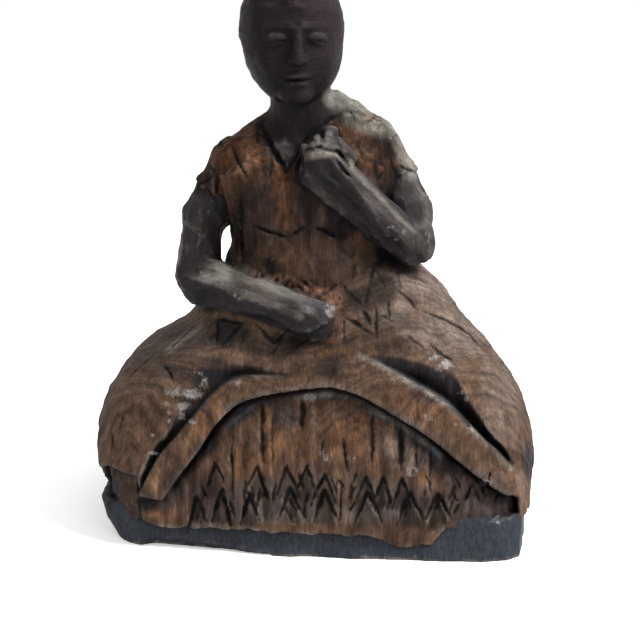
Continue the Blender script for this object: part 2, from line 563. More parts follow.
def inside_peaks(px, py):
    """1 inside the peaks above the hem, less near their edges."""
    best = np.zeros(px.shape, np.float32)
    for row in (UPPER_PEAKS, LOWER_PEAKS):
        for top_x, top_y in row["tops"]:
            down = (py - top_y) / row["drop"]
            edge = row["spread"] * down - np.abs(px - top_x)
            best = np.maximum(best, np.clip(edge / 3, 0, 1) * ramp(1.25, 0.9, down) * (down > 0))
    return best


arch = smooth_line(ARCH_LEFT) + smooth_line(ARCH_RIGHT)[1:]
lower_edge = HeightTable(KNEE_EDGE + [tuple(point) for point in arch] + RIGHT_END)
groove_tables = [HeightTable(smooth_line(groove["line"])) for groove in LEG_GROOVES]
hem_line = np.array(HEM, float)


def panel_depth(x, z, under):
    """How far the front of the lap is cut back under the knees and the legs' arch."""
    within = ramp(-56, -44, x) * ramp(64, 50, x)
    fade = np.exp(-np.maximum(under, 0) / (6 + 9 * within))
    wander = 1.4 * np.sin(0.31 * x) + 0.9 * np.sin(0.83 * x + 2)
    flute = PANEL["flute_deep"] * (0.5 + 0.5 * np.cos(2 * math.pi * (x - 1 + wander) / PANEL["flute_pitch"]))
    fluted = flute * within * ramp(1, 7, under) * ramp(8, 15, z)
    undercut = PANEL["undercut"] * within * bump(under, 0.6, 1.3)
    return PANEL["deep"] + (PANEL["edge_deep"] + PANEL["arch_deep"] * within) * fade + fluted + undercut


def groove_depth(x, over, groove, table):
    """Depth of the slope that runs down to a leg's top edge."""
    along = (x - table.start) / (table.end - table.start)
    inward = along if groove["outer_end"] == "left" else 1 - along
    taper = ramp(-0.02, 0.06, inward) * ramp(1, groove["open_to"], inward)
    width = np.interp(inward, *zip(*groove["widths"]))
    return np.minimum(groove["deep"], 1.3 * width) * taper * np.clip(1 - over / width, 0, 1) ** 1.1


# Facets that the blade left on each mass: depth in mm, size of a facet, level of its rim, seed
FACETS = {
    "skirt": [(1.3, (11, 11, 15), 0.68, SEED), (0.4, (3.4, 3.4, 7), 0.7, SEED + 7)],
    "base": [(1.2, (9, 9, 22), 0.68, SEED + 20)],
    "trunk": [(1.3, (8, 8, 13), 0.68, SEED + 30), (0.9, (3, 3, 5), 0.7, SEED + 8)],
    "low_upper": [(2.8, (6, 6, 15), 0.72, SEED + 50), (0.7, (2.4, 2.4, 6), 0.7, SEED + 53)],
    "low_fore": [(2.8, (18, 5.5, 5.5), 0.72, SEED + 51), (0.7, (6, 2.4, 2.4), 0.7, SEED + 52)],
    "raised_upper": [(2.8, (6, 6, 15), 0.72, SEED + 60), (0.7, (2.4, 2.4, 6), 0.7, SEED + 63)],
    "raised_fore": [(2.6, (16, 5.2, 5), 0.72, SEED + 61), (0.7, (6, 2.4, 2.4), 0.7, SEED + 62)],
}


def hewn(form, x, y, z, mass):
    """The form with the blade's facets on it."""
    for depth, size, rim, seed in FACETS[mass]:
        form = form + depth * (scoops(x, y, z, size, seed) - rim)
    return form


def skirt_bell(x, y, z):
    u, v = turned(x, y, LAP["turn"])
    level = np.clip(z, 0, LAP["top_z"])
    above = np.maximum(level - LAP["widest_z"], 0)
    below = np.maximum(LAP["widest_z"] - level, 0)
    over = np.maximum(level - LAP["deepest_z"], 0)
    fall, hip_in, sides_in = [np.where(u < 0, LAP[name + "_left"], LAP[name])
                              for name in ("fall", "hip_in", "sides_in")]
    half_width = LAP["half_width"] * (1 - (above / LAP["side_reach"]) ** fall)
    half_width = half_width - hip_in * bump(level, LAP["hip_z"], LAP["hip_tall"])
    half_width = half_width - LAP["foot_in"] * (below / LAP["widest_z"]) ** 2
    half_width = half_width - sides_in * np.maximum(LAP["sides_in_z"] - level, 0)
    half_width = np.maximum(half_width, LAP["least_half_width"])
    front = np.maximum(LAP["front"] * (1 - (over / LAP["front_reach"]) ** 3), LAP["least_depth"])
    back = np.maximum(LAP["back"] * (1 - (over / LAP["back_reach"]) ** 2.6), LAP["least_depth"])
    centre_x = LAP["centre_x"] + LAP["shift_up"] * ramp(50, 85, level)
    roundness = 5.2 - 2.0 * ramp(14, 36, level) - 0.9 * ramp(36, 75, level)
    return trim(plan(u - centre_x, v, half_width, front, back, roundness), z - LAP["top_z"], 6)


def skirt(x, y, z, fine):
    form = skirt_bell(x, y, z)
    front = ramp(-8, -22, y)
    if fine:
        form = hewn(form, x, y, z, "skirt") + 0.2 * noise(x / 2.2, y / 2.2, z / 6, SEED + 4)
    under = -lower_edge.over(x, z)
    upper = trim(form, under - 40 * (1 - front), 0.5)
    form = np.minimum(upper, form + panel_depth(x, z, under) * front)
    for groove, table in zip(LEG_GROOVES, groove_tables):
        over = table.over(x, z)
        slope = form + groove_depth(x, over, groove, table) * front
        form = np.maximum(form, np.minimum(over, slope))
    front_hem = np.interp(x, hem_line[:, 0], hem_line[:, 1])
    hem_z = front_hem + (BACK_HEM_Z - front_hem) * ramp(-25, 15, y)
    if fine:
        px, py = photo_place(x, y, z)
        form = form + knife_cuts(px, py, HEM_KNIFE + FLUTE_KNIFE + SKIRT_KNIFE + WAIST_KNIFE) * front
        form = form + 0.5 * inside_peaks(px, py) * front * (z < PEAKS_TOP)
        hem_z = hem_z + 0.7 * noise(x / 2.6, y / 2.6, z * 0, SEED + 3)
    return trim(form, hem_z - z, 0.5)


def base(x, y, z, fine):
    u, v = turned(x, y, LAP["turn"])
    side = u - BASE["centre_x"]
    taper = np.where(side < 0, BASE["left_taper"] * np.clip(13 - z, 0, 20), 0)
    front = BASE["front"] - BASE["lean"] * z - BASE["left_back"] * np.maximum(-10 - u, 0)
    form = plan(side, v, BASE["half_width"] - taper, front, BASE["back"], BASE["corner"])
    form = trim(form, z - BASE["top_z"], 1)
    form = trim(form, -limb(x, y, z, *CHIP), 0.8)
    return hewn(form, x, y, z, "base") if fine else form


def trunk(x, y, z, fine):
    level = np.clip(z, 70, 140)
    waist_in = TRUNK["waist_in"] * bump(level, TRUNK["waist_z"], TRUNK["waist_tall"])
    half_width = TRUNK["half_width"] - waist_in + TRUNK["chest_out"] * ramp(110, 123, level)
    front = TRUNK["front"] + TRUNK["belly"] * bump(level, TRUNK["belly_z"], 9)
    front = front + TRUNK["breast"] * bump(level, TRUNK["breast_z"], 8)
    form = plan(x - TRUNK["centre_x"] - waist_in, y + 0.5, half_width, front, TRUNK["back"], 2.5)
    form = trim(form, z - TRUNK["top_z"], 16)
    for point, normal, fillet in COLLAR_CUTS:
        form = trim(form, cut_plane(x, y, z, point, normal), fillet)
    for shoulder in SHOULDERS:
        form = join(form, limb(x, y, z, *shoulder), 6)
    if fine:
        px, py = photo_place(x, y, z)
        cut = knife_cuts(px, py, COLLAR_KNIFE + CHEST_KNIFE + WAIST_KNIFE) * ramp(-4, -9, y)
        splinters = 1.8 * np.abs(noise(x / 1.2, y / 1.2, z / 2, SEED + 6)) - 0.6
        form = form + cut + line_patches(px, py, TORN_LINES) * splinters
        form = hewn(form, x, y, z, "trunk") + 0.15 * noise(x / 1.6, y / 1.6, z / 6, SEED + 5)
    return form


def with_eye(form, u, v, z, side, fine):
    """A socket with a closed lid in it, and the brow and cheek by it."""
    middle, level = side * FACE["eye_x"], FACE["eye_z"]
    form = trim(form, -ellipsoid(u, v, z, (middle, -20.6, level + 0.2), (5.2, 3.6, 3.4)), 1.2)
    lid = ellipsoid(u, v, z, (middle, -16.6, level), (3.7, 2.6, 2.1))
    if fine:
        lashes = np.abs(z - level + 0.5 + 0.05 * (u - middle) ** 2)
        lid = lid + 0.9 * np.clip(1 - lashes / 0.8, 0, 1)
    form = join(form, lid, 0.5)
    if fine:
        brow = limb(u, v, z, (side * 2, -17.7, level + 4), (side * 9.6, -14.9, level + 3.9), (1.1, 0.8))
        form = join(form, brow, 1.3)
        cheek = ellipsoid(u, v, z, (side * 7.6, -13, FACE["mouth_z"] + 6.4), (4.2, 3, 3.6))
        form = join(form, cheek, 2.5)
    return form


def with_nose(form, u, v, z, fine):
    level = FACE["nose_z"]
    nose = limb(u, v, z, (0, -17.9, FACE["eye_z"] + 2.5), (0, -20.1, level + 1.8), (1.3, 2.4))
    if fine:
        for side in (-1, 1):
            nose = join(nose, ellipsoid(u, v, z, (side * 2.1, -19.2, level + 1.5), (1.3, 1.6, 1.2)), 0.7)
    form = join(form, trim(nose, level - z, 0.6), 1.6)
    if fine:
        for side in (-1, 1):
            nostril = ellipsoid(u, v, z, (side * 1.5, -20.4, level + 0.1), (0.9, 1.1, 0.8))
            form = trim(form, -nostril, 0.3)
    return form


def with_mouth(form, u, v, z, fine):
    level = FACE["mouth_z"]
    form = join(form, ellipsoid(u, v, z, (0, -17.2, level + 1.1), (4.4, 2.2, 1.2)), 0.9)
    form = join(form, ellipsoid(u, v, z, (0, -16.9, level - 1.4), (3.8, 2.2, 1.3)), 0.9)
    if fine:
        parting = np.clip(1 - np.abs(z - level) / 0.75, 0, 1)
        form = form + 0.6 * parting * ramp(5.6, 4.4, np.abs(u)) * ramp(-10, -14, v)
    return form


def head(x, y, z, fine):
    hx, hy = turned(x, y, HEAD["turn"], HEAD["x"], HEAD["y"])
    u, v = hx - HEAD["x"], hy - HEAD["y"]
    size = (HEAD["half_width"], HEAD["half_depth"], HEAD["half_height"])
    form = ellipsoid(u, v, z, (0, 0.5, HEAD["crown_z"] - HEAD["half_height"]), size)
    form = join(form, ellipsoid(u, v, z, (0.7, -5.5, HEAD["chin_z"] + 12), (13.2, 13.2, 12.6)), 9)
    form = trim(form, cut_plane(u, v, z, (0, -19, FACE["eye_z"]), (0, -1, 0.03)), 5)
    if fine:
        plain = ramp(-8, -2, v) + ramp(FACE["eye_z"] + 7, FACE["eye_z"] + 11, z)
        form = form + 1.5 * np.clip(plain, 0.3, 1) * (scoops(u, v, z, (9, 9, 7), SEED + 40) - 0.75)
        form = form + 0.55 * np.clip(plain, 0.5, 1) * (scoops(u, v, z, (3.4, 3.4, 3), SEED + 41) - 0.7)
    for side in (-1, 1):
        form = with_eye(form, u, v, z, side, fine)
    form = with_mouth(with_nose(form, u, v, z, fine), u, v, z, fine)
    return join(form, ellipsoid(u, v, z, (0, -14.6, HEAD["chin_z"] + 2.8), (5, 3.6, 3.2)), 3)


def sleeve_edge(x, arm):
    """Height of a short sleeve's ragged edge."""
    if arm == "low":
        return SLEEVE["left_z"] - SLEEVE["left_lean"] * (x - SLEEVE["left_x"]) + 0.8 * np.sin(1.3 * x)
    return SLEEVE["right_z"] + SLEEVE["tooth"] * np.abs(np.mod(x / SLEEVE["pitch"], 2) - 1)


def upper_arm(x, y, z, fine, arm, segments, knife):
    """Upper arm, thicker by the sleeve above its edge."""
    form = join(limb(x, y, z, *segments[0]), limb(x, y, z, *segments[1]), 3)
    form = form - SLEEVE["thick"] * ramp(-SLEEVE["fade"], SLEEVE["fade"], z - sleeve_edge(x, arm))
    if fine:
        form = hewn(form, x, y, z, arm + "_upper")
        form = form + knife_cuts(*photo_place(x, y, z), knife) * ramp(4, 0, y)
    return form


def low_arm(x, y, z, fine):
    fore = limb(x, y, z, *LOW_FOREARM)
    for point, normal in LOW_HAND_CUTS:
        fore = trim(fore, cut_plane(x, y, z, point, normal), 0.8)
    if fine:
        fore = hewn(fore, 0.8 * x - 0.6 * y, 0.6 * x + 0.8 * y, z, "low_fore")
    return join(upper_arm(x, y, z, fine, "low", LOW_ARM, LEFT_SLEEVE_KNIFE), fore, 2.0)


def raised_arm(x, y, z, fine):
    fore = np.minimum(limb(x, y, z, *RAISED_FOREARM), limb(x, y, z, *PALM))
    for point, normal in FOREARM_FACES:
        fore = trim(fore, cut_plane(x, y, z, point, normal), 0.8)
    for part in HAND:
        fore = join(fore, limb(x, y, z, *part), 1)
    if fine:
        fore = hewn(fore, 0.68 * x - 0.73 * z, y, 0.73 * x + 0.68 * z, "raised_fore")
        fore = fore + knife_cuts(*photo_place(x, y, z), HAND_KNIFE) * ramp(-10, -14, y)
    return join(upper_arm(x, y, z, fine, "raised", RAISED_ARM, RIGHT_SLEEVE_KNIFE), fore, 1.2)


def patch(px, py, patches):
    """Soft oval patches, 1 in the middle and 0 outside."""
    total = np.zeros(px.shape, np.float32)
    for cx, cy, rx, ry, strength in patches:
        r2 = ((px - cx) / rx) ** 2 + ((py - cy) / ry) ** 2
        total = np.maximum(total, strength * np.clip(1.3 * (1 - r2), 0, 1))
    return total


def line_patches(px, py, lines):
    """Soft bands along paths, given with their half width and strength."""
    total = np.zeros(px.shape, np.float32)
    for path, width, strength in lines:
        gap, _ = place_on_path(px, py, path)
        total = np.maximum(total, strength * np.clip(1.4 * (1 - gap / width), 0, 1))
    return total


# Masses with the boxes that hold them, and the fillet where each meets the rest
MASSES = {
    "skirt": (skirt, (-90, -60, -5), (90, 60, 105), 0),
    "base": (base, (-90, -60, -5), (90, 60, 20), 0.5),
    "trunk": (trunk, (-60, -45, 72), (55, 35, 155), 3),
    "neck": (lambda x, y, z, fine: limb(x, y, z, *NECK), (-25, -20, 120), (15, 20, 170), 2.5),
    "head": (head, (-35, -32, 138), (15, 26, 200), 1.5),
    "low_arm": (low_arm, (-58, -50, 66), (12, 18, 140), 1.0),
    "raised_arm": (raised_arm, (-14, -38, 82), (48, 18, 145), 1.0),
}
FAR = 40.0


def mass_distances(x, y, z, fine):
    """Distance to each mass, measured only near it."""
    found = {}
    for name, (shape, low, high, _) in MASSES.items():
        near = ((x > low[0]) & (x < high[0]) & (y > low[1]) & (y < high[1]) & (z > low[2]) & (z < high[2]))
        gap = np.full(x.shape, FAR, np.float32)
        if near.any():
            gap[near] = shape(x[near], y[near], z[near], fine)
        found[name] = gap
    return found


def figure(x, y, z, fine=True):
    form = None
    for (_, _, _, fillet), gap in zip(MASSES.values(), mass_distances(x, y, z, fine).values()):
        form = gap if form is None else join(form, gap, fillet)
    return np.maximum(form, -z)


# Corners of the grid that the skin is taken from, in mm
GRID_LOW = (-84.0, -56.0, -2.5 * STEP)
GRID_HIGH = (82.0, 54.0, 194.0)
# The plain form is first measured on a grid this many times coarser, and the fine form only in its
# cells that may hold some skin, so many at a time
COARSE = 4
CELLS_AT_A_TIME = 6000
# How far the fine carving may move the skin, in mm
CARVING_REACH = 1.6


def sampled_field(low, high, step):
    """Values on a fine grid: the true form near its skin, and only the sign elsewhere."""
    coarse_axes = [np.arange(a, b, step * COARSE) for a, b in zip(low, high)]
    grid = np.meshgrid(*coarse_axes, indexing="ij")
    shape = grid[0].shape
    rough = figure(*[g.ravel().astype(np.float32) for g in grid], fine=False).reshape(shape)
    near = np.abs(rough) < step * COARSE * 1.1 + CARVING_REACH
    field = np.sign(rough) * 9
    for axis in range(3):
        field = np.repeat(field, COARSE, axis)
    field = field.astype(np.float32)
    cells = np.argwhere(near)
    offsets = np.array(list(product(range(COARSE), repeat=3)))
    for start in range(0, len(cells), CELLS_AT_A_TIME):
        some = cells[start:start + CELLS_AT_A_TIME, None, :]
        index = (some * COARSE + offsets[None]).reshape(-1, 3)
        x, y, z = [(low[axis] + index[:, axis] * step).astype(np.float32) for axis in range(3)]
        field[index[:, 0], index[:, 1], index[:, 2]] = figure(x, y, z)
    return field


CORNERS = list(product((0, 1), repeat=3))
# Edges of a cell, as pairs of corners one step apart
EDGES = [(a, b) for a in CORNERS for b in CORNERS if a < b and math.dist(a, b) == 1]


def skin(field, low, step):
    """Closed skin with one point in each grid cell that the surface crosses."""
    inside = field < 0
    nx, ny, nz = field.shape
    corner_sum = np.zeros((nx - 1, ny - 1, nz - 1), np.uint8)
    for i, j, k in CORNERS:
        corner_sum += inside[i:nx - 1 + i, j:ny - 1 + j, k:nz - 1 + k]
    cells = np.argwhere((corner_sum > 0) & (corner_sum < 8))
    number = np.full(corner_sum.shape, -1, np.int32)
    number[cells[:, 0], cells[:, 1], cells[:, 2]] = np.arange(len(cells))
    total = np.zeros((len(cells), 3))
    count = np.zeros(len(cells))
    for start, end in EDGES:
        a = field[tuple((cells + start).T)]
        b = field[tuple((cells + end).T)]
        crossed = (a < 0) != (b < 0)
        t = a[crossed] / (a[crossed] - b[crossed])
        total[crossed] += np.array(start) + t[:, None] * (np.array(end) - np.array(start))
        count[crossed] += 1
    points = np.array(low) + (cells + total / count[:, None]) * step
    faces = []
    for axis in range(3):
        first, second = [a for a in range(3) if a != axis]
        ahead = [slice(None)] * 3
        behind = [slice(None)] * 3
        ahead[axis], behind[axis] = slice(1, None), slice(None, -1)
        change = inside[tuple(behind)] != inside[tuple(ahead)]
        spots = np.argwhere(change)
        spots = spots[(spots[:, first] > 0) & (spots[:, second] > 0)]
        ring = []
        for da, db in ((0, 0), (1, 0), (1, 1), (0, 1)):
            cell = spots.copy()
            cell[:, first] -= da
            cell[:, second] -= db
            ring.append(number[tuple(cell.T)])
        quads = np.stack(ring, 1)
        leaving = inside[tuple(spots.T)]
        turn = leaving if axis != 1 else ~leaving
        quads[~turn] = quads[~turn][:, ::-1]
        faces.append(quads)
    return points, np.concatenate(faces)


def skin_mesh():
    points, quads = skin(sampled_field(GRID_LOW, GRID_HIGH, STEP), GRID_LOW, STEP)
    points[:, 2] = np.where(points[:, 2] < 0.35 * STEP, 0, points[:, 2])
    points[:, 0] -= MIDDLE[0]
    points[:, 1] -= MIDDLE[1]
    mesh = bpy.data.meshes.new("fine_carving")
    mesh.vertices.add(len(points))
    mesh.vertices.foreach_set("co", (points * MM).ravel())
    mesh.loops.add(quads.size)
    mesh.loops.foreach_set("vertex_index", quads.ravel().astype(np.int32))
    mesh.polygons.add(len(quads))
    mesh.polygons.foreach_set("loop_start", np.arange(0, quads.size, 4, dtype=np.int32))
    mesh.update(calc_edges=True)
    return mesh


def thinned(mesh, triangles):
    """The same skin with fewer triangles, most of all behind and below."""
    obj = bpy.data.objects.new("thinning", mesh)
    bpy.context.scene.collection.objects.link(obj)
    normals = np.empty(len(mesh.vertices) * 3, np.float32)
    mesh.vertex_normals.foreach_get("vector", normals)
    normals = normals.reshape(-1, 3)
    plain = obj.vertex_groups.new(name="plain")
    behind = (normals[:, 1] > 0.35) | (normals[:, 2] < -0.9)
    plain.add(np.flatnonzero(behind).tolist(), 1.0, "REPLACE")
    plain.add(np.flatnonzero(~behind).tolist(), 0.35, "REPLACE")
    thin = obj.modifiers.new("thin", "DECIMATE")
    thin.ratio = min(1.0, triangles / (2 * len(mesh.polygons)))
    thin.vertex_group = plain.name
    depsgraph = bpy.context.evaluated_depsgraph_get()
    result = bpy.data.meshes.new_from_object(obj.evaluated_get(depsgraph))
    bpy.data.objects.remove(obj)
    return result


carving_mesh = thinned(skin_mesh(), TRIANGLES)
carving_mesh.shade_smooth()
carving = bpy.data.objects.new("carving", carving_mesh)
bpy.context.scene.collection.objects.link(carving)


# Marks on the surface, worked out at each point of the skin
def linear(shown):
    """A colour given as 0 to 255 display values, as light."""
    share = np.array(shown) / 255
    return np.where(share <= 0.04, share / 12.92, ((share + 0.055) / 1.055) ** 2.4)


TONES = {name: linear(shown) for name, shown in dict(
    brown=(72, 53, 39), orange=(100, 67, 42), pale=(95, 81, 69), slate=(29, 28, 31), base=(43, 46, 52),
    skin=(36, 31, 32), head=(27, 20, 20), throat=(24, 18, 18), torn=(104, 74, 57), plum=(66, 55, 52),
    blue=(76, 80, 86), gold=(126, 94, 64), scraped=(84, 85, 89), cut=(8, 7, 7), dark=(17, 13, 13),
    rubbed=(100, 92, 84), dusty=(112, 110, 102)).items()}
# The stain's colour changes by these shares, red, green and blue: on the shirt, and on the skirt
REDDER_ABOVE = np.array([0.07, 0.17, 0.15])
GREYER_BELOW = np.array([-0.01, 0.03, 0.14])

# The bare skin between the sides of the collar: heights in the photograph, and its left and right ends there
COLLAR_LEFT = ([105, 128, 172], [262, 263, 286])
COLLAR_RIGHT = ([105, 122, 148, 172], [352, 326, 300, 286])
# The brush ran along this line on the head; on the arms it ran along them
HEAD_STROKES = ((-30, -4, 168), (12, 1, 169))
# How far under and over the skin a broad edge is felt for, in mm
EDGE_REACH = 1.6
# Distances from the skin at which shelter is felt for, in mm, and the weight of each
SHELTER_REACHES = ((1.5, 0.25), (4.0, 0.35), (9.0, 0.4))


def sharpness(mesh, places, normals):
    """How far each point stands out of its neighbours' middle, in mm; creases are negative."""
    ends = np.empty(len(mesh.edges) * 2, np.int32)
    mesh.edges.foreach_get("vertices", ends)
    first, second = ends.reshape(-1, 2).T
    count = len(places)
    number = np.bincount(first, minlength=count) + np.bincount(second, minlength=count)

    def neighbours(values):
        total = np.bincount(first, values[second], count) + np.bincount(second, values[first], count)
        return total / number

    middles = np.stack([neighbours(places[:, axis]) for axis in range(3)], 1)
    out = np.sum((places - middles) * normals, 1)
    return 0.5 * (out + neighbours(out))


def skin_points(mesh):
    """The mesh's points in the carver's frame, with what lies around each."""
    s = SimpleNamespace(count=len(mesh.vertices))
    places = np.empty(s.count * 3, np.float32)
    normals = np.empty(s.count * 3, np.float32)
    mesh.vertices.foreach_get("co", places)
    mesh.vertex_normals.foreach_get("vector", normals)
    places, normals = places.reshape(-1, 3) / MM, normals.reshape(-1, 3)
    s.nx, s.ny, s.nz = normals.T
    s.x, s.y, s.z = places[:, 0] + MIDDLE[0], places[:, 1] + MIDDLE[1], places[:, 2]
    s.px, s.py = photo_place(s.x, s.y, s.z)
    s.front = ramp(0.25, -0.15, s.ny)
    sharp = sharpness(mesh, places, normals)
    s.ridge = np.clip((sharp - 0.05) / 0.1, 0, 1)
    s.crease = np.clip((-sharp - 0.02) / 0.09, 0, 1)
    return s


def off_skin(s, reach):
    """Distance to the plain form at places a little off the skin."""
    return figure(s.x + reach * s.nx, s.y + reach * s.ny, s.z + reach * s.nz, fine=False)


def add_closeness(s):
    """How closed in each point is, and how rubbed a broad edge is."""
    s.shelter = np.zeros(s.count, np.float32)
    for reach, weight in SHELTER_REACHES:
        s.shelter += weight * np.clip(1 - off_skin(s, reach) / reach, 0, 1)
    bend = off_skin(s, -EDGE_REACH) + off_skin(s, EDGE_REACH) - 2 * off_skin(s, 0)
    s.rubbed = np.clip(bend / (0.6 * EDGE_REACH), 0, 1)


def add_paint(s):
    """Where each mass shows, and so where the dark paint lies on skin and base."""
    x, z, px, py = s.x, s.z, s.px, s.py
    s.gaps = gaps = mass_distances(x, s.y, z, False)
    s.cloth = np.minimum(gaps["skirt"], gaps["trunk"])
    low = gaps["low_arm"] + 20 * (z > sleeve_edge(x, "low"))
    raised = gaps["raised_arm"] + 20 * ((z > sleeve_edge(x, "raised")) & (x > 18))
    s.bare = np.minimum(np.minimum(gaps["head"], gaps["neck"]), np.minimum(low, raised))
    in_collar = (py < 172) & (px > np.interp(py, *COLLAR_LEFT)) & (px < np.interp(py, *COLLAR_RIGHT))
    s.in_collar = s.front * (in_collar & (z > 120) & (s.cloth < 1.5))
    s.skin_paint = np.maximum(np.clip(0.5 + (s.cloth - s.bare) / 0.8, 0, 1), s.in_collar)
    s.base_paint = np.clip(0.5 + (gaps["skirt"] - gaps["base"]) / 0.8, 0, 1) * (z < 16)
    s.cloth_paint = (1 - s.skin_paint) * (1 - s.base_paint)
    s.on_head = np.clip(0.5 + (s.cloth - gaps["head"]) / 0.8, 0, 1)
    on_neck = np.clip(0.5 + (s.cloth - gaps["neck"]) / 0.8, 0, 1)
    s.throat = np.maximum(s.in_collar, on_neck * s.front)


def add_variation(s):
    """Unevenness of the finish, from broad to fine."""
    x, y, z = s.x, s.y, s.z
    s.broad = noise(x / 14, y / 14, z / 22, 71)
    s.middling = noise(x / 4, y / 4, z / 9, 72)
    s.streaks = noise(x / 1.8, y / 1.8, z / 16, 73)
    s.grit = noise(x / 1.1, y / 1.1, z / 1.6, 74)
    s.patchy = noise(x / 2.6, y / 2.6, z / 3.4, 75) + 0.6 * noise(x / 1.2, y / 1.2, z / 1.6, 76)


def lay(tone, name, amount, most=1.0, shade=0.0):
    """The colours under a layer of another tone, by a share of at most most; shade lightens the layer."""
    layer = TONES[name] * (1 + np.asarray(shade))[..., None]
    return tone + (layer - tone) * np.clip(amount, 0, most)[:, None]


def stained(s):
    """Colours of the stained wood, under the paint."""
    front, px, py, middling, streaks = s.front, s.px, s.py, s.middling, s.streaks
    tone = TONES["brown"] * (1 + 0.16 * s.broad + 0.14 * middling + 0.14 * streaks)[:, None]
    tone = lay(tone, "orange", front * patch(px, py, ORANGE_PATCHES) * (0.8 + 0.9 * streaks))
    tone = lay(tone, "orange", 0.5 * (1 - front) * (s.broad + 0.2), 0.4)
    tone = lay(tone, "pale", front * patch(px, py, PALE_PATCHES) * (0.9 + 0.5 * middling))
    tone = lay(tone, "slate", s.slate * (0.85 + 0.7 * middling), 0.95)
    for groove, table in zip(LEG_GROOVES, groove_tables):
        over = table.over(s.x, s.z)
        wall = groove_depth(s.x, over, groove, table) / groove["deep"] * (over > -0.4) * (s.y < -15)
        tone = lay(tone, "slate", np.clip(7 * wall, 0, groove["film"]) * front)
        tone = lay(tone, "dark", np.clip(groove["stain"] * wall, 0, 0.9) * front)
    plum = patch(px, py, PLUM_PATCHES) * front * ((s.z < 34) | (s.z > 90))
    tone = lay(tone, "plum", plum * (0.75 + 0.9 * streaks), 0.95)
    tone = lay(tone, "gold", line_patches(px, py, GOLD_LINES) * front * (0.5 + 1.1 * streaks), 0.9)
    tone = lay(tone, "dark", s.dark * (0.9 + 0.5 * middling), 0.95)
    peaks = inside_peaks(px, py) * front * (s.z < PEAKS_TOP)
    tone = lay(tone, "dark", peaks * (0.5 + 0.3 * streaks), 0.8)
    tone = tone * np.clip(1 + (0.14 + 0.3 * ramp(96, 112, s.z)) * s.patchy, 0.4, 1.6)[:, None]
    torn = line_patches(px, py, TORN_LINES) * front * (s.y > -34)
    return lay(tone, "torn", torn * (1.1 + streaks), 1.0, np.clip(1.1 * s.grit - 0.25, -0.85, 0.5))


def painted(s, tone):
    """The colours with the paint of skin and base, grime, and each height's own cast."""
    tone = lay(tone, "skin", s.skin_paint, 1.0, 0.2 * s.middling)
    tone = lay(tone, "throat", s.throat, 1.0, 0.35 * s.middling)
    tone = lay(tone, "head", s.on_head, 1.0, 0.3 * s.middling + 0.3 * s.broad)
    tone = lay(tone, "base", s.base_paint, 1.0, 0.15 * s.middling)
    grime = patch(s.px, s.py, GRIMY_PATCHES) * ramp(0.5, 0.1, s.ny)
    tone = lay(tone, "dark", grime * (0.9 + 0.5 * s.middling), 0.95)
    tone = tone * (1 - 0.3 * ramp(108, 124, s.z) * s.cloth_paint)[:, None]
    tone = tone * (1 - (ramp(92, 104, s.z) * s.cloth_paint)[:, None] * REDDER_ABOVE)
    tone = tone * (1 + (ramp(98, 86, s.z) * s.cloth_paint)[:, None] * GREYER_BELOW)
    return tone * np.clip(0.88 + (0.25 + 0.25 * s.skin_paint) * s.nz, 0.4, 1.2)[:, None]


def worn(s, tone):
    """The colours with rubbed edges, dust and film, and with the dark of cuts and corners."""
    front, px, py, middling, ridge = s.front, s.px, s.py, s.middling, s.ridge
    on_wood = (1 - 0.5 * s.skin_paint) * (1 - 0.9 * s.base_paint) * (1 - 0.6 * s.on_head)
    tone = lay(tone, "rubbed", 0.4 * s.rubbed * (0.6 + 0.6 * middling) * on_wood)
    tone = lay(tone, "blue", line_patches(px, py, BLUE_LINES) * front * np.clip(0.8 + 0.8 * middling, 0, 1))
    scraped = np.clip(0.6 * ridge * (0.6 + 0.8 * s.streaks), 0, 0.6)
    tone = lay(tone, "scraped", scraped * s.skin_paint * (1 - 0.85 * s.on_head))
    dusty = line_patches(px, py, DUSTY_LINES) * front
    tone = lay(tone, "dusty", dusty * np.clip(0.75 + 0.7 * middling + 0.5 * ridge, 0, 1))
    rubbed = np.clip(0.7 * ridge * (0.6 + 0.8 * middling), 0, 0.7)
    tone = lay(tone, "rubbed", rubbed * (1 - s.skin_paint) * (1 - 0.8 * np.maximum(s.slate, s.dark)))
    tone = lay(tone, "cut", 0.6 * s.crease)
    pale = np.clip(line_patches(px, py, PALE_LINES) * (0.75 + 0.6 * middling), 0, 1)
    tone = lay(tone, "rubbed", pale * front)
    cut = knife_cuts(px, py, HEM_KNIFE + FLUTE_KNIFE + SKIRT_KNIFE + WAIST_KNIFE + COLLAR_KNIFE + CHEST_KNIFE
                     + LEFT_SLEEVE_KNIFE + RIGHT_SLEEVE_KNIFE + HAND_KNIFE) * front
    tone = lay(tone, "cut", np.clip(cut / 0.55, 0, 1) * 0.92)
    return lay(tone, "cut", 1.7 * (s.shelter - 0.33), 0.9)


def shows(s, name):
    """Where the skin is that of one painted mass."""
    return (s.gaps[name] < s.cloth - 0.3) & (s.gaps[name] <= s.bare + 0.01)


def lengthwise(s, start, end):
    """The points' places in a frame whose third axis runs from start to end."""
    ahead = np.array(end, float) - np.array(start, float)
    ahead /= np.linalg.norm(ahead)
    side = np.cross(ahead, (0.1, 0.9, 0.3))
    side /= np.linalg.norm(side)
    axes = np.stack([side, np.cross(ahead, side), ahead], 1)
    return np.stack([s.x, s.y, s.z], 1) @ axes + np.array(start)[None]


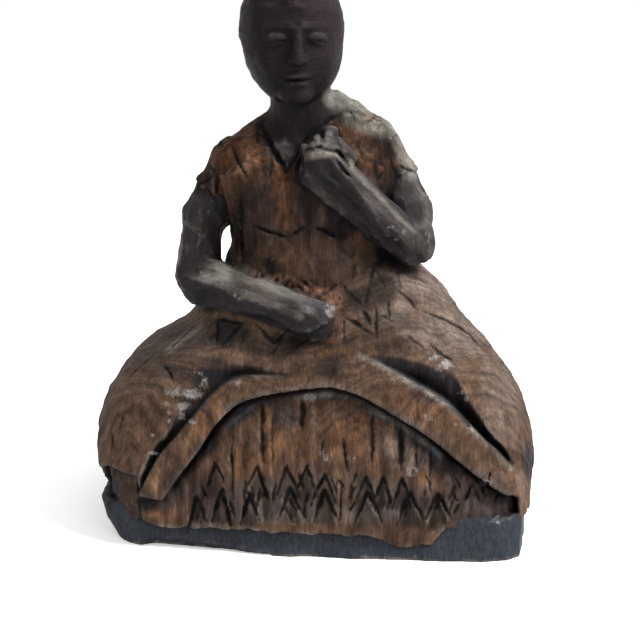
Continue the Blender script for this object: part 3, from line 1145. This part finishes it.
def grain_places(s):
    """Places that the wood's nodes read: as they are, or lengthwise on head and arms, along the brush."""
    grain = np.stack([s.x, s.y, s.z], 1)
    arms = (("low_arm", LOW_ARM, LOW_FOREARM), ("raised_arm", RAISED_ARM, RAISED_FOREARM))
    for name, upper, fore in arms:
        start, end = upper[0][0], upper[1][1]
        nearer = limb(s.x, s.y, s.z, *fore) < limb(s.x, s.y, s.z, start, end, (8, 8))
        along = np.where(nearer[:, None], lengthwise(s, *fore[:2]), lengthwise(s, start, end))
        grain = np.where(shows(s, name)[:, None], along, grain)
    return np.where(shows(s, "head")[:, None], lengthwise(s, *HEAD_STROKES), grain)


def surface_marks(mesh):
    """Colours and covers at each point of the mesh, which the material's nodes read."""
    s = skin_points(mesh)
    add_closeness(s)
    add_paint(s)
    add_variation(s)
    s.slate = np.maximum(patch(s.px, s.py, SLATE_PATCHES), line_patches(s.px, s.py, SLATE_LINES)) * s.front
    s.dark = patch(s.px, s.py, DARK_PATCHES) * s.front
    tone = worn(s, painted(s, stained(s)))
    dust = ramp(0.4, 1.0, s.nz) * (1 - s.shelter) * (0.5 + 0.5 * s.middling) * (0.2 + 0.6 * s.skin_paint)
    dust = dust * (1 - 0.9 * np.maximum(s.slate, s.dark)) * (1 - 0.6 * s.on_head)
    rgba = np.ones((s.count, 4))
    rgba[:, :3] = np.clip(tone, 0.002, 1)
    for name, kind, field, marks in (
            ("paint", "FLOAT", "value", np.maximum(s.skin_paint, s.base_paint)),
            ("dust", "FLOAT", "value", dust),
            ("lime", "FLOAT", "value", patch(s.px, s.py, LIME_PATCHES) * s.front),
            ("tone", "FLOAT_COLOR", "color", rgba),
            ("grain", "FLOAT_VECTOR", "vector", grain_places(s))):
        mesh.attributes.new(name, kind, "POINT").data.foreach_set(field, marks.astype(np.float32).ravel())


surface_marks(carving_mesh)


class Nodes:
    """Short hand for building a node tree."""

    def __init__(self, material):
        material.use_nodes = True
        self.tree = material.node_tree
        self.shader = self.tree.nodes["Principled BSDF"]

    def feed(self, socket, value):
        if isinstance(value, bpy.types.NodeSocket):
            self.tree.links.new(value, socket)
        else:
            socket.default_value = value

    def add(self, kind, inputs=(), **settings):
        node = self.tree.nodes.new(kind)
        for name, value in settings.items():
            setattr(node, name, value)
        for name, value in dict(inputs).items():
            self.feed(node.inputs[name], value)
        return node

    def attribute(self, name, output="Fac"):
        return self.add("ShaderNodeAttribute", attribute_name=name).outputs[output]

    def operate(self, kind, operation, values, output):
        node = self.add(kind, operation=operation)
        for socket, value in zip(node.inputs, values):
            self.feed(socket, value)
        return node.outputs[output]

    def math(self, operation, *values):
        return self.operate("ShaderNodeMath", operation, values, "Value")

    def vector(self, operation, *values, output="Vector"):
        return self.operate("ShaderNodeVectorMath", operation, values, output)

    def between(self, value, low, high, to_low=0.0, to_high=1.0):
        inputs = {"Value": value, "From Min": low, "From Max": high, "To Min": to_low, "To Max": to_high}
        return self.add("ShaderNodeMapRange", inputs).outputs["Result"]

    def noise(self, vector, scale=1.0, detail=2.0, roughness=0.5, output="Fac"):
        inputs = {"Vector": vector, "Scale": scale, "Detail": detail, "Roughness": roughness}
        return self.add("ShaderNodeTexNoise", inputs).outputs[output]

    def mix(self, amount, first, second, blend="MIX"):
        node = self.add("ShaderNodeMix", data_type="RGBA", blend_type=blend)
        for index, value in ((0, amount), (6, first), (7, second)):
            self.feed(node.inputs[index], value)
        return node.outputs[2]

    def mix_numbers(self, amount, first, second):
        node = self.add("ShaderNodeMix", data_type="FLOAT")
        for index, value in ((0, amount), (2, first), (3, second)):
            self.feed(node.inputs[index], value)
        return node.outputs[0]


# Pith of the log that the figure is cut from, behind it, and how far its rings wander, in mm
PITH = (6.0, 46.0)
WANDER = 14


def ring_pattern(n, place):
    """Growth rings, by the distance from the pith, wandering a little."""
    warp = n.noise(n.vector("MULTIPLY", place, (0.03, 0.03, 0.012)), output="Color")
    shifted = n.vector("MULTIPLY_ADD", warp, (WANDER, WANDER, 0), place)
    flat = n.vector("MULTIPLY_ADD", shifted, (1, 1, 0), (-PITH[0], -PITH[1], 0))
    distance = n.vector("LENGTH", flat, output="Value")
    return n.noise(n.add("ShaderNodeCombineXYZ", {"X": distance}).outputs[0], 0.62, 2.0, 0.6)


def wood_material():
    """Stained and painted wood with rings about an upright axis behind the figure."""
    wood = bpy.data.materials.new("carved_wood")
    n = Nodes(wood)
    place = n.vector("MULTIPLY", n.add("ShaderNodeTexCoord").outputs["Object"], (1000, 1000, 1000))
    paint = n.attribute("paint")
    strokes = n.attribute("grain", "Vector")

    def along(size, detail, roughness):
        return n.noise(n.vector("MULTIPLY", strokes, size), 1.0, detail, roughness)

    rings = ring_pattern(n, place)
    fibres = along((1.1, 1.1, 0.05), 5.0, 0.6)
    pores = along((3.4, 3.4, 0.12), 2.0, 0.5)
    blotches = along((0.22, 0.22, 0.12), 6.0, 0.66)
    mottle = along((1.3, 1.3, 0.3), 6.0, 0.75)
    grain = n.between(rings, 0.35, 0.65, 0.6, 1.35)
    for pattern, low, high, dark, light in ((fibres, 0.3, 0.7, 0.62, 1.38), (pores, 0.34, 0.42, 0.68, 1.0),
                                            (blotches, 0.3, 0.7, 0.6, 1.4)):
        grain = n.math("MULTIPLY", grain, n.between(pattern, low, high, dark, light))
    brushed = n.between(mottle, 0.3, 0.7, 0.35, 1.75)
    value = n.mix_numbers(n.math("MULTIPLY", paint, 0.8), grain, brushed)
    grey = n.add("ShaderNodeCombineColor", {"Red": value, "Green": value, "Blue": value}).outputs[0]
    color = n.mix(1.0, n.attribute("tone", "Color"), grey, "MULTIPLY")

    # Dust on what faces up, and flecks of lime
    speck = n.noise(place, 1.3, 4.0, 0.7)
    dust = n.math("MULTIPLY", n.attribute("dust"), n.between(speck, 0.35, 0.65, 0.25, 1.0))
    color = n.mix(n.math("MINIMUM", dust, 0.8), color, (0.25, 0.24, 0.225, 1))
    flecks = n.noise(n.vector("MULTIPLY", place, (0.55, 0.55, 0.4)), 1.0, 7.0, 0.85)
    lime = n.between(n.math("ADD", n.math("MULTIPLY", n.attribute("lime"), 0.24), flecks), 0.64, 0.84)
    color = n.mix(n.math("MULTIPLY", lime, 0.75), color, (0.3, 0.285, 0.275, 1))
    n.feed(n.shader.inputs["Base Color"], color)

    rough = n.between(paint, 0, 1, 0.66, 0.5)
    n.feed(n.shader.inputs["Roughness"], n.math("MAXIMUM", rough, n.math("MULTIPLY", dust, 0.95)))
    n.shader.inputs["Specular IOR Level"].default_value = 0.06

    relief = n.math("MULTIPLY", fibres, n.between(paint, 0, 1, 1.0, 0.35))
    for pattern in (pores, mottle):
        relief = n.math("ADD", relief, n.math("MULTIPLY", pattern, 0.5))
    bump_node = n.add("ShaderNodeBump", {"Height": relief, "Strength": 0.8, "Distance": 0.0006})
    n.feed(n.shader.inputs["Normal"], bump_node.outputs["Normal"])
    return wood


carving_mesh.materials.clear()
carving_mesh.materials.append(wood_material())

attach(carving, "root")
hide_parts("figure")

# Pale floor in white surroundings, and one soft light from the upper right; metres
FLOOR = dict(radius=0.9, sides=96, grey=0.88, glow=0.25)
LIGHT = dict(place=(0.68, -0.3, 0.9), aim=(0, 0, 0.09), size=0.35, power=20)


def make_floor():
    turns = [2 * math.pi * i / FLOOR["sides"] for i in range(FLOOR["sides"])]
    ring = [(FLOOR["radius"] * math.cos(turn), FLOOR["radius"] * math.sin(turn), 0) for turn in turns]
    mesh = bpy.data.meshes.new("floor")
    mesh.from_pydata(ring, [], [tuple(range(len(ring)))])
    floor = bpy.data.objects.new("floor", mesh)
    bpy.context.scene.collection.objects.link(floor)
    material = bpy.data.materials.new("floor")
    material.use_nodes = True
    shader = material.node_tree.nodes["Principled BSDF"]
    shader.inputs["Base Color"].default_value = (FLOOR["grey"], FLOOR["grey"], FLOOR["grey"], 1)
    shader.inputs["Roughness"].default_value = 0.9
    shader.inputs["Emission Color"].default_value = (1, 1, 1, 1)
    shader.inputs["Emission Strength"].default_value = FLOOR["glow"]
    mesh.materials.append(material)


def make_light():
    data = bpy.data.lights.new("window", "AREA")
    data.shape = "DISK"
    data.size = LIGHT["size"]
    data.energy = LIGHT["power"]
    light = bpy.data.objects.new("window", data)
    light.location = LIGHT["place"]
    ahead, across, up = np.array(LIGHT["aim"]) - np.array(LIGHT["place"])
    yaw = math.atan2(across, ahead) - math.pi / 2
    light.rotation_euler = (math.atan2(math.hypot(ahead, across), -up), 0, yaw)
    bpy.context.scene.collection.objects.link(light)


def make_surroundings():
    world = bpy.data.worlds.new("room")
    world.use_nodes = True
    background = world.node_tree.nodes["Background"]
    background.inputs["Color"].default_value = (1, 1, 1, 1)
    background.inputs["Strength"].default_value = 1.0
    bpy.context.scene.world = world
    bpy.context.scene.view_settings.view_transform = "Standard"


make_floor()
make_light()
make_surroundings()
